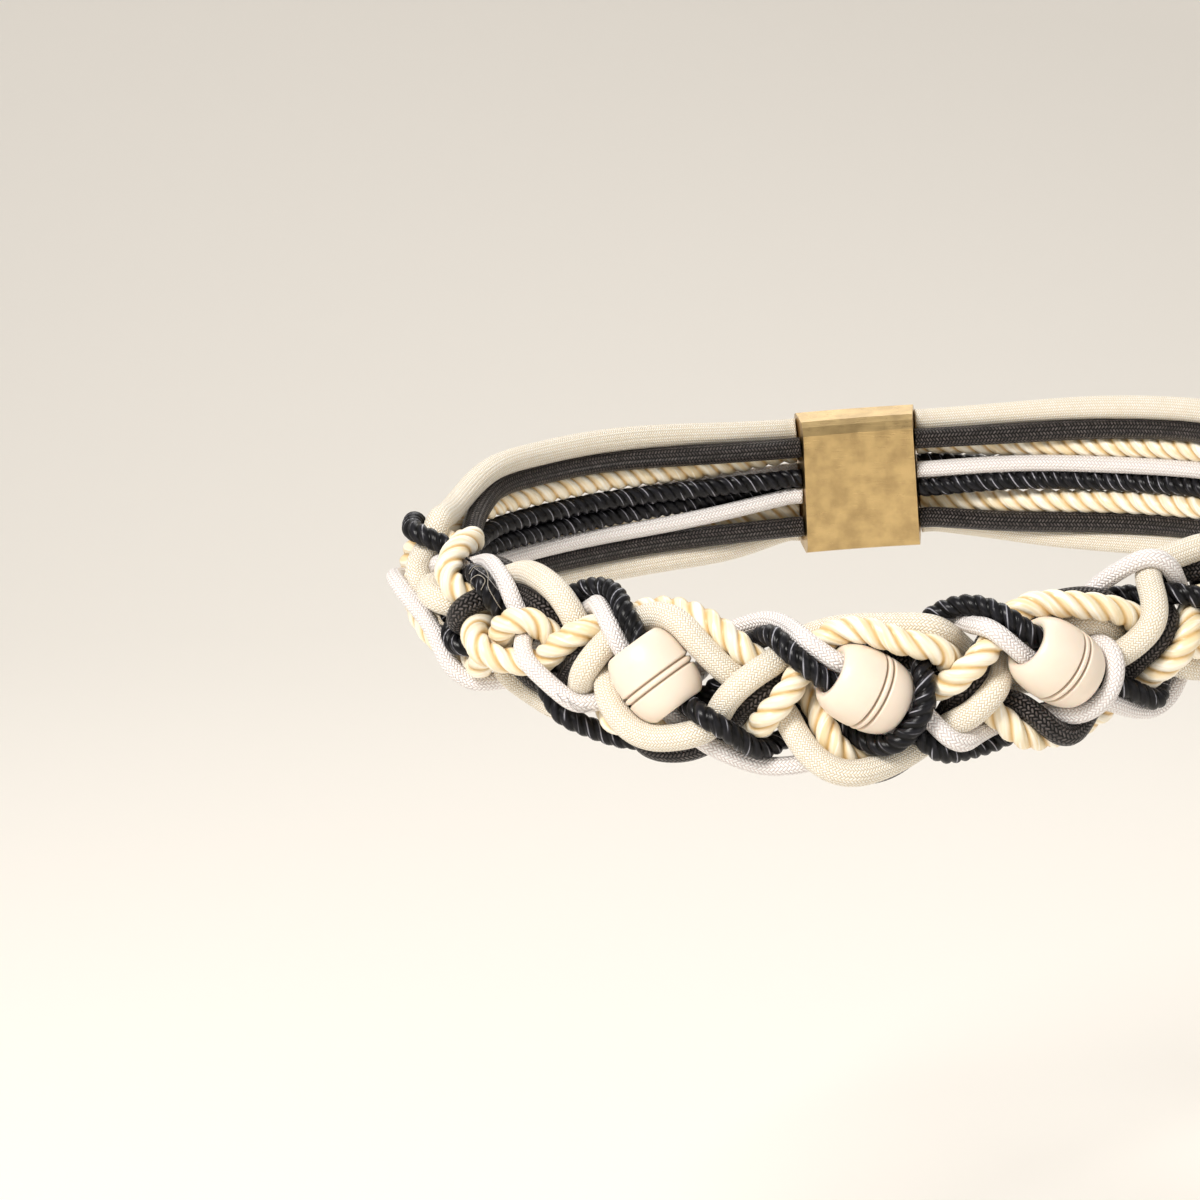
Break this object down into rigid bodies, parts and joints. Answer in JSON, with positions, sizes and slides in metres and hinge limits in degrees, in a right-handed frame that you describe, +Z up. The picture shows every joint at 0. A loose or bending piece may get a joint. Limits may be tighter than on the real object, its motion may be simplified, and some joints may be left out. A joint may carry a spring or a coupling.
{
  "type": "plaited cord belt with barrel beads",
  "caption": "Cord belt closed round a waist: ten black, white and cream cords plaited in four flat bundles, three barrel beads at the front and a plain clasp at the back.",
  "frame": {"origin": "middle of the waist that the belt closes round, halfway up its rise from front to back", "axes": "+Z up, -Y towards the beaded front, +X to the belt's right as seen from the front"},
  "size_m": [0.3137, 0.2452, 0.0913],
  "materials": {
    "black_rope": "satin",
    "white_cord": "matte",
    "cream_cord": "matte",
    "black_braid": "matte",
    "cream_rope": "satin",
    "bead": "satin",
    "clasp": "satin"
  },
  "bodies": {
    "root": {"black_rope_a": "black_rope", "white_cord_a": "white_cord", "cream_rope_a": "cream_rope", "black_braid_a": "black_braid", "cream_cord_a": "cream_cord", "white_cord_b": "white_cord", "black_rope_b": "black_rope", "cream_cord_b": "cream_cord", "black_braid_b": "black_braid", "cream_rope_b": "cream_rope", "bead_left": "bead", "bead_middle": "bead", "bead_right": "bead", "clasp": "clasp"}
  },
  "joints": []
}
